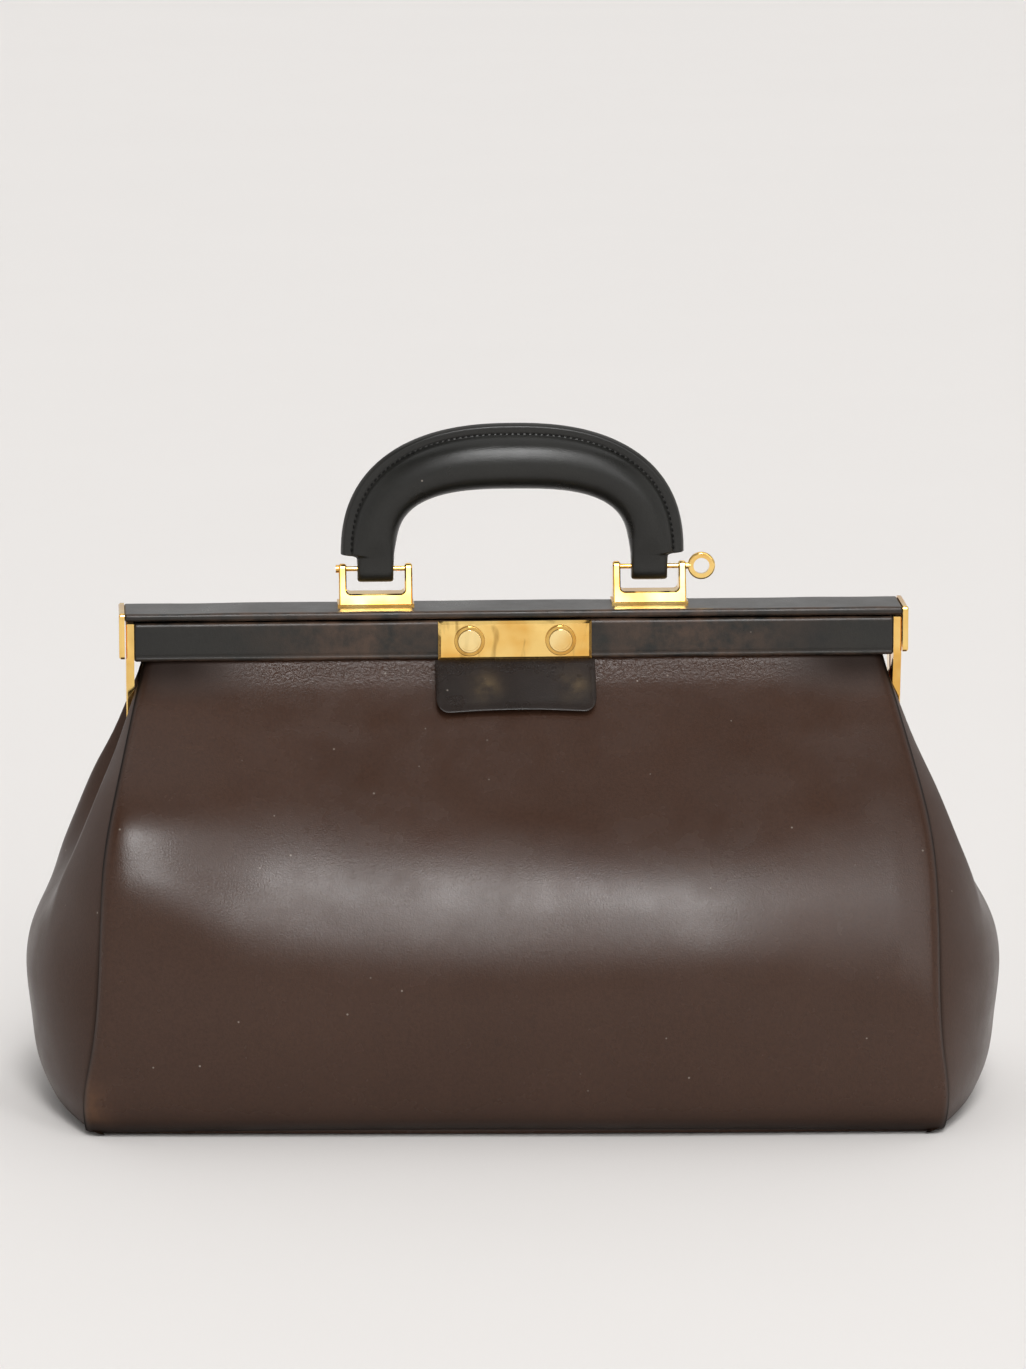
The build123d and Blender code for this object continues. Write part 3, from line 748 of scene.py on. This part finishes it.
def leather_bar(low, high, half_length, radius, seed, groove=None):
    """A leather sleeve: the rounded ring carried along x, its ends turned in, its skin a little uneven."""
    ring, facing = bar_profile(np.array(low), np.array(high), radius)
    x = half_length * (2 * spread(200, 0.97) - 1)[:, None]
    inset = quarter_round(half_length - np.abs(x), radius * 0.7)
    around = ring[None, :, 1] + ring[None, :, 0]
    skin = 0.10 * MM * waves(x, around, seed, 0.05) * smooth_step(half_length - np.abs(x), 0, 10 * MM)
    if groove is not None:
        front = facing[None, :, 0] < -0.9
        skin = skin - 0.4 * MM * bell(ring[None, :, 1] - groove, 0.55 * MM) * front
    section = ring[None, :, :] + facing[None, :, :] * (skin - inset)[..., None]
    rings = np.concatenate([np.broadcast_to(x[:, :, None], (*section.shape[:2], 1)), section], axis=2)
    return tube(rings)


def bar_wear(points, low, high):
    """Rubbed patches in the middle lengths of a bar and along its edges."""
    x, z = points[:, 0], points[:, 2]
    patches = bell(x + 58 * MM, 34 * MM) + bell(x - 68 * MM, 40 * MM)
    edge = bell(high - z, 1.0 * MM) + bell(z - low, 1.0 * MM)
    front = smooth_step(-points[:, 1], 9 * MM, 12 * MM)
    return np.clip(0.70 * patches * front + 0.60 * edge * front + 0.10 * edge, 0, 1)


class BAG_OT_bars(bpy.types.Operator):
    """Leather sleeves of the front bar, the rear bar and the top that laps over both"""

    bl_idname = "bag.bars"
    bl_label = "Bars"

    def execute(self, context):
        sizes = context.scene.bag_sizes
        low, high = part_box("front_bar_cover")
        rear_low, rear_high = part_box("rear_bar_cover")
        top_low = high[2] + 0.7 * MM
        rear_top = (rear_high[1], top_low + 0.6 * MM)
        black = finish_named("black_hide")
        for name, corner_a, corner_b, half_length, body, seed in (
            ("front_bar_leather", low[1:], high[1:], high[0], "front_frame", 11),
            ("rear_bar_leather", (-high[1], low[2]), rear_top, high[0], "rear_frame", 12),
            ("top_bar_leather", (rear_low[1], top_low), rear_high[1:], rear_high[0], "rear_frame", 13),
        ):
            groove = corner_a[1] + 2.0 * MM if body == "front_frame" else None
            radius = min(sizes.bar_roll, 0.45 * (corner_b[1] - corner_a[1]))
            points, faces = leather_bar(corner_a, corner_b, half_length, radius, seed, groove)
            piece = add_piece(name, points, faces, black, wear=bar_wear(points, corner_a[1], corner_b[1]))
            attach(piece, body)
            if name == "front_bar_leather":
                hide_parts("front_bar_cover")
            if name == "top_bar_leather":
                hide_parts("rear_bar_cover")
        return {"FINISHED"}


class BAG_OT_pull_tab(bpy.types.Operator):
    """Pull tab under the clasp"""

    bl_idname = "bag.pull_tab"
    bl_label = "Pull tab"

    def execute(self, context):
        """A plate on two shares: across, and down to an edge that waves and rounds off at its corners.

        Both faces lie half a thickness off the sloping middle, swell to a bead at the edge and meet there."""
        sizes = context.scene.bag_sizes
        low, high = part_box("pull_tab")
        half_width = high[0]
        across = (2 * spread(110) - 1)[None, :]
        down = spread(60)[:, None]
        x = across * half_width
        corner = quarter_round(half_width - np.abs(x), 5 * MM)
        drop = high[2] - low[2]
        reach = drop - corner - 0.9 * MM * (1 - across ** 2) ** 2
        z = high[2] - down * reach
        lean = (low[1] - high[1] - sizes.tab_flare) / drop
        ripple = 0.5 * MM * waves(x, z, 21, 0.05) * down
        y = high[1] - 1.0 * MM + lean * (high[2] - z) - ripple
        edge = np.minimum((1 - np.abs(across)) * half_width, np.minimum(down, 1 - down) * reach)
        bead = sizes.tab_bead * bell(edge - 1.4 * MM, 0.9 * MM) * (down > 0.15)
        half = 0.9 * MM * half_round(edge, 0.9 * MM)
        normal = np.array([0, -1, lean]) / math.hypot(1, lean)
        middle = joined(x, y, z)
        outer = middle + normal * (half + bead)[..., None]
        inner = middle - normal * half[..., None]
        points, faces = shell(outer[::-1], inner[::-1])[:2]
        level = bell(points[:, 2] - high[2] + 9 * MM, 4 * MM)
        spots = (bell(points[:, 0] + 12 * MM, 5 * MM) + bell(points[:, 0] - 23 * MM, 5 * MM)) * level
        piece = add_piece("pull_tab_leather", points, faces, finish_named("tab_hide"), wear=0.6 * spots)
        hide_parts("pull_tab")
        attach(piece, "front_frame")
        return {"FINISHED"}


# Handle

# How far back the handle stands, and the levels of its arch, its pins and its loops
HANDLE_BACK = 4.5 * MM
ARCH_LEVEL = 216.7 * MM
PIN_LEVEL = 211.7 * MM
LOOP_DROP = 5.3 * MM
LOOP_LEVEL = PIN_LEVEL - LOOP_DROP

# Middle line of the arch and outer edge of the flange: half length, rise and power of each superellipse
ARCH_HALF, ARCH_RISE, ARCH_POWER = 54.6 * MM, 36.8 * MM, 2.7
FLANGE_HALF, FLANGE_RISE, FLANGE_POWER = 68.4 * MM, 53.2 * MM, 2.4

# Half depth of the core at the loops and the legs and how far the grip swells, then the same of its height
LOOP_DEPTH, LEG_DEPTH, GRIP_DEPTH = 4.2 * MM, 6.25 * MM, 4.75 * MM
LOOP_HEIGHT, LEG_HEIGHT, GRIP_HEIGHT = 7.2 * MM, 8.0 * MM, 2.0 * MM

# Half depth of the flange and the round of its edge, then the depth and half width of the stitch line
FLANGE_DEPTH, FLANGE_ROUND = 2.1 * MM, 1.6 * MM
GROOVE_DEPTH, GROOVE_WIDTH = 0.30 * MM, 0.6 * MM


def arch_path(count):
    """The middle line of the handle and its outward normals: up a leg, round a rounded arch and down again.

    The arch is a superellipse, and the line is divided by its own length, more finely at its ends."""
    angle = np.linspace(0, np.pi, 4000)
    x = ARCH_HALF * np.sign(np.cos(angle)) * np.abs(np.cos(angle)) ** (2 / ARCH_POWER)
    z = ARCH_LEVEL + ARCH_RISE * np.abs(np.sin(angle)) ** (2 / ARCH_POWER)
    x = np.concatenate([[x[0]], x, [x[-1]]])
    z = np.concatenate([[LOOP_LEVEL], z, [LOOP_LEVEL]])
    run = np.concatenate([[0], np.cumsum(np.hypot(np.diff(x), np.diff(z)))])
    even = np.linspace(0, 1, count)
    step = run[-1] * (0.6 * spread(count, 0.97) + 0.4 * even)
    path = np.stack([np.interp(step, run, x), np.interp(step, run, z)], axis=-1)
    slope = np.gradient(path, axis=0)
    slope = slope / np.linalg.norm(slope, axis=1, keepdims=True)
    normal = np.stack([slope[:, 1], -slope[:, 0]], axis=-1)
    return path, normal, step / run[-1]


def flange_reach(path, normal):
    """Distance along each normal to the outer edge of the flange, a superellipse, by halving."""
    low = np.zeros(len(path))
    high = np.full(len(path), 40 * MM)
    for step in range(40):
        middle = (low + high) / 2
        spot = path + normal * middle[:, None]
        size = np.abs(spot[:, 0] / FLANGE_HALF) ** FLANGE_POWER
        size = size + np.abs((spot[:, 1] - ARCH_LEVEL) / FLANGE_RISE) ** FLANGE_POWER
        low = np.where(size < 1, middle, low)
        high = np.where(size < 1, high, middle)
    return (low + high) / 2


def handle_rings(sizes):
    """Rings of the handle: an oval core and a thin flange, joined by a fillet, carried along the arch.

    Half the depth at each height of the section is the soft maximum of the core's oval and the flange, with a
    sunk stitch line where they meet, and the legs end in flat loops that round off under the pins.
    The rings come with the stitch line and half the depth at it."""
    path, normal, share = arch_path(320)
    z = path[:, 1]
    swell = np.sin(np.pi * np.clip((share - 0.06) / 0.88, 0, 1))[:, None]
    leg = smooth_step(z, PIN_LEVEL - 1 * MM, ARCH_LEVEL + 9 * MM)[:, None]
    core_depth = LOOP_DEPTH + (LEG_DEPTH - LOOP_DEPTH + GRIP_DEPTH * swell) * leg
    core_height = LOOP_HEIGHT + (LEG_HEIGHT - LOOP_HEIGHT + GRIP_HEIGHT * swell) * leg
    under = np.clip((PIN_LEVEL - z) / LOOP_DROP, 0, 1)[:, None]
    core_depth = core_depth * np.sqrt(np.maximum(1 - under ** 2, 0.02))
    core_height = core_height - quarter_round(z - LOOP_LEVEL, 1.2 * MM)[:, None]
    power = 4.5 - 2.5 * leg
    full = flange_reach(path, normal)[:, None]
    cut = smooth_step(z, ARCH_LEVEL - 0.5 * MM, ARCH_LEVEL + 0.9 * MM)[:, None]
    top = core_height + np.maximum(full - core_height, 0) * cut
    step = spread(70, 0.93)[None, :]
    rise = -core_height + (top + core_height) * step
    outward = np.where(rise > 0, np.maximum(core_height, (top - sizes.stitch_inset) * cut), core_height)
    core = core_depth * np.maximum(1 - np.minimum(np.abs(rise / outward), 1) ** power, 0) ** (1 / power)
    thin = FLANGE_DEPTH * half_round(top - rise, FLANGE_ROUND) * cut
    thin = thin * (rise > -0.3 * core_height)
    fillet = 1.3 * MM * cut * smooth_step(rise, 0.0, 0.5 * core_height)
    depth = soft_max(core, thin, fillet)
    groove = bell(top - rise - sizes.stitch_inset, GROOVE_WIDTH) * cut
    edge = np.minimum(half_round(top - rise, FLANGE_ROUND), half_round(rise + core_height, 0.4 * MM))
    depth = (depth - GROOVE_DEPTH * groove) * np.where(cut > 0.01, edge, 1)
    nearest = np.abs(top - rise - sizes.stitch_inset).argmin(axis=1)[:, None]
    seat = np.take_along_axis(depth, nearest, axis=1)[:, 0]
    line = path + normal * (top - sizes.stitch_inset)
    side = np.concatenate([-depth, depth[:, -2:0:-1]], axis=1)
    out = np.concatenate([rise, rise[:, -2:0:-1]], axis=1)
    x = path[:, :1] + normal[:, :1] * out
    up = path[:, 1:] + normal[:, 1:] * out
    rings = np.stack([x, HANDLE_BACK + side, up], axis=-1)
    return rings, line, seat


def stitch_shape():
    """A slim bead along x: six points on each of four rings and a point at each end, with its faces."""
    ring = np.linspace(0, 2 * np.pi, 7)[:-1]
    station = np.array([-0.8, -0.3, 0.3, 0.8])
    size = np.sqrt(1 - station ** 2)
    x = np.repeat(station[:, None], 6, axis=1)
    body = np.stack([x, size[:, None] * np.cos(ring), size[:, None] * np.sin(ring)], axis=-1).reshape(-1, 3)
    points = np.concatenate([body, [[-1, 0, 0], [1, 0, 0]]])
    index, sides = ring_faces(4, 6)
    ahead = np.roll(index, -1, axis=1)
    first = np.stack([ahead[0], index[0], np.full(6, 24)], axis=-1)
    last = np.stack([index[-1], ahead[-1], np.full(6, 25)], axis=-1)
    return points, sides[:, ::-1], np.concatenate([first, last])[:, ::-1]


class BAG_OT_handle(bpy.types.Operator):
    """Leather handle with its sewn flange and loops"""

    bl_idname = "bag.handle"
    bl_label = "Handle"

    def execute(self, context):
        sizes = context.scene.bag_sizes
        points, faces = tube(handle_rings(sizes)[0])
        wear = 0.06 * (np.abs(points[:, 1] - HANDLE_BACK) < 2 * MM)
        piece = add_piece("handle_leather", points, faces, finish_named("black_hide"), wear=wear)
        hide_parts("handle")
        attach(piece, "handle")
        return {"FINISHED"}


class BAG_OT_stitching(bpy.types.Operator):
    """Rows of stitches on both faces of the handle's flange"""

    bl_idname = "bag.stitching"
    bl_label = "Stitching"

    def execute(self, context):
        """Beads laid end to end in the groove on both faces, each turned a little to the line."""
        sizes = context.scene.bag_sizes
        line, seat = handle_rings(sizes)[1:]
        sewn = line[:, 1] > ARCH_LEVEL + 1.5 * MM
        line, seat = line[sewn], seat[sewn]
        run = np.concatenate([[0], np.cumsum(np.linalg.norm(np.diff(line, axis=0), axis=1))])
        count = int(run[-1] / sizes.stitch_pitch)
        centre = (np.arange(count) + 0.5) * run[-1] / count
        x, z, out = (np.interp(centre, run, values) for values in (line[:, 0], line[:, 1], seat))
        ahead_x, ahead_z = (np.interp(centre + 0.5 * MM, run, values) for values in line.T)
        lean = np.arctan2(ahead_z - z, ahead_x - x)
        lean = np.concatenate([lean + 0.16, lean - 0.16])
        facing = np.repeat([-1.0, 1.0], count)
        origin = np.stack([np.tile(x, 2), HANDLE_BACK + facing * np.tile(out, 2), np.tile(z, 2)], axis=-1)
        forward = np.stack([np.cos(lean), np.zeros(2 * count), np.sin(lean)], axis=-1)
        across = np.stack([-np.sin(lean), np.zeros(2 * count), np.cos(lean)], axis=-1)
        bead, quads, ends = stitch_shape()
        bead = bead * (0.38 * sizes.stitch_pitch, 0.5 * sizes.thread, 0.5 * sizes.thread)
        points = origin[:, None] + bead[None, :, :1] * forward[:, None] - bead[None, :, 2:] * across[:, None]
        points[..., 1] += bead[None, :, 1]
        start = (np.arange(2 * count) * len(bead))[:, None, None]
        skins = (quads[None] + start).reshape(-1, 4).tolist() + (ends[None] + start).reshape(-1, 3).tolist()
        piece = add_piece("handle_stitching", points.reshape(-1, 3), skins, finish_named("thread"))
        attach(piece, "handle")
        return {"FINISHED"}


# Metal and hidden parts

NODE_FINISHES = {
    "gilt_metal": (
        "left_front_arm", "right_front_arm", "left_rear_arm", "right_rear_arm", "left_pivot_pin",
        "right_pivot_pin", "left_end_cap", "right_end_cap", "left_handle_bracket", "right_handle_bracket",
        "left_handle_pin", "ring_pin",
    ),
    "clasp_gilt": ("clasp_plate",),
    "collar_gilt": ("left_button_collar", "right_button_collar"),
    "button_gilt": ("left_button", "right_button"),
    "channel_steel": ("front_channel", "rear_channel", "lock_case", "striker_plate", "bracket_screws"),
    "faced_board": ("base_board",),
}


class BAG_OT_fittings(bpy.types.Operator):
    """Finishes of the metal fittings, the channels and the base board"""

    bl_idname = "bag.fittings"
    bl_label = "Fittings"

    def execute(self, context):
        for finish, nodes in NODE_FINISHES.items():
            for node in nodes:
                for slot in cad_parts[node].material_slots:
                    slot.material = finish_named(finish)
        return {"FINISHED"}


# Stage

# Far lamps: bearing from the front, height and width in degrees, then strength
FAR_LAMPS = {
    "key_light_high": (3.0, 52.5, 14.0, 0.92),
    "key_light": (3.0, 43.0, 14.0, 0.30),
    "key_light_low": (3.0, 33.0, 14.0, 0.50),
    "key_light_foot": (3.0, 22.0, 14.0, 0.16),
    "side_light_high": (38.0, 52.0, 30.0, 0.16),
    "top_light": (172.0, 66.0, 70.0, 0.82),
}

# Camera: distance, bearing and rise in degrees, aim, and height of the picture there
CAMERA_DISTANCE = 3.2
CAMERA_BEARING, CAMERA_RISE = -3.2, 10.7
CAMERA_AIM = Vector((0.0, 0.0, 0.165))
PICTURE_HEIGHT = 0.546

FLOOR_RADIUS = 9
FLOOR_LEVEL = -0.3 * MM


def bearing(azimuth, elevation):
    """Unit vector towards a bearing from the front and a height, in degrees."""
    turn, rise = math.radians(azimuth), math.radians(elevation)
    return Vector((math.sin(turn) * math.cos(rise), -math.cos(turn) * math.cos(rise), math.sin(rise)))


def aimed(name, data, place, aim):
    """A lamp or camera at a place, turned towards a point."""
    stand = bpy.data.objects.new(name, data)
    stand.location = place
    stand.rotation_euler = (Vector(aim) - Vector(place)).to_track_quat("-Z", "Y").to_euler()
    bpy.context.scene.collection.objects.link(stand)
    return stand


def lamp(name, kind, place, aim, **settings):
    """A lamp with its settings at a place, turned towards a point."""
    light = bpy.data.lights.new(name, kind)
    for key, value in settings.items():
        setattr(light, key, value)
    aimed(name, light, place, aim)


class BAG_OT_stage(bpy.types.Operator):
    """Floor, soft light and camera"""

    bl_idname = "bag.stage"
    bl_label = "Stage"

    def execute(self, context):
        scene = context.scene
        radius = np.linspace(0, FLOOR_RADIUS, 10)[1:, None]
        angle = np.linspace(0, 2 * np.pi, 49)[None, :-1]
        ring = joined(radius * np.cos(angle), radius * np.sin(angle), FLOOR_LEVEL)
        index, faces = ring_faces(*ring.shape[:2])
        faces = faces[:, ::-1].tolist() + [index[0].tolist()]
        floor = add_piece("floor", ring.reshape(-1, 3), faces, finish_named("floor"))

        world = bpy.data.worlds.new("studio")
        scene.world = world
        world.use_nodes = True
        sky = world.node_tree
        way = add(sky, "ShaderNodeTexCoord").outputs["Generated"]
        parts = add(sky, "ShaderNodeSeparateXYZ", {"Vector": way})
        walls = between(sky, parts.outputs["Z"], 0.45, 0.95, 0.65, 0.02)
        feed(sky, sky.nodes["Background"], {"Color": (1.0, 0.99, 0.98, 1.0), "Strength": walls})

        for name, (azimuth, elevation, width, strength) in FAR_LAMPS.items():
            place = 3 * bearing(azimuth, elevation)
            lamp(name, "SUN", place, (0, 0, 0), angle=math.radians(width), energy=strength)
        lamp(
            "side_light", "AREA", (1.45, -2.5, 2.0), (0, 0, 0.2),
            shape="RECTANGLE", size=0.55, size_y=3.4, energy=19.0,
        )

        lens = bpy.data.cameras.new("camera")
        lens.sensor_fit = "VERTICAL"
        lens.sensor_height = 24.0
        lens.lens = lens.sensor_height * CAMERA_DISTANCE / PICTURE_HEIGHT
        lens.clip_end = 50.0
        place = CAMERA_AIM + CAMERA_DISTANCE * bearing(CAMERA_BEARING, CAMERA_RISE)
        scene.camera = aimed("camera", lens, place, CAMERA_AIM)
        scene.view_settings.view_transform = "Standard"
        return {"FINISHED"}


class BAG_PT_pieces(bpy.types.Panel):
    """Lists the pieces, their sizes and their colours"""

    bl_idname = "BAG_PT_pieces"
    bl_label = "Handbag"
    bl_space_type = "VIEW_3D"
    bl_region_type = "UI"
    bl_category = "Handbag"

    def draw(self, context):
        for operator in OPERATORS:
            self.layout.operator(operator.bl_idname)
        for group in (context.scene.bag_sizes, context.scene.bag_colours):
            box = self.layout.box()
            for key in group.__annotations__:
                box.prop(group, key)


OPERATORS = (
    BAG_OT_panels, BAG_OT_gussets, BAG_OT_base, BAG_OT_bars, BAG_OT_pull_tab, BAG_OT_handle, BAG_OT_stitching,
    BAG_OT_fittings, BAG_OT_stage,
)
CLASSES = (BagSizes, BagColours, *OPERATORS, BAG_PT_pieces)


def register():
    for kind in CLASSES:
        bpy.utils.register_class(kind)
    bpy.types.Scene.bag_sizes = PointerProperty(type=BagSizes)
    bpy.types.Scene.bag_colours = PointerProperty(type=BagColours)


def unregister():
    del bpy.types.Scene.bag_colours
    del bpy.types.Scene.bag_sizes
    for kind in reversed(CLASSES):
        bpy.utils.unregister_class(kind)


def main():
    register()
    bpy.ops.bag.panels()
    bpy.ops.bag.gussets()
    bpy.ops.bag.base()
    bpy.ops.bag.bars()
    bpy.ops.bag.pull_tab()
    bpy.ops.bag.handle()
    bpy.ops.bag.stitching()
    bpy.ops.bag.fittings()
    bpy.ops.bag.stage()


if __name__ == "__main__":
    main()
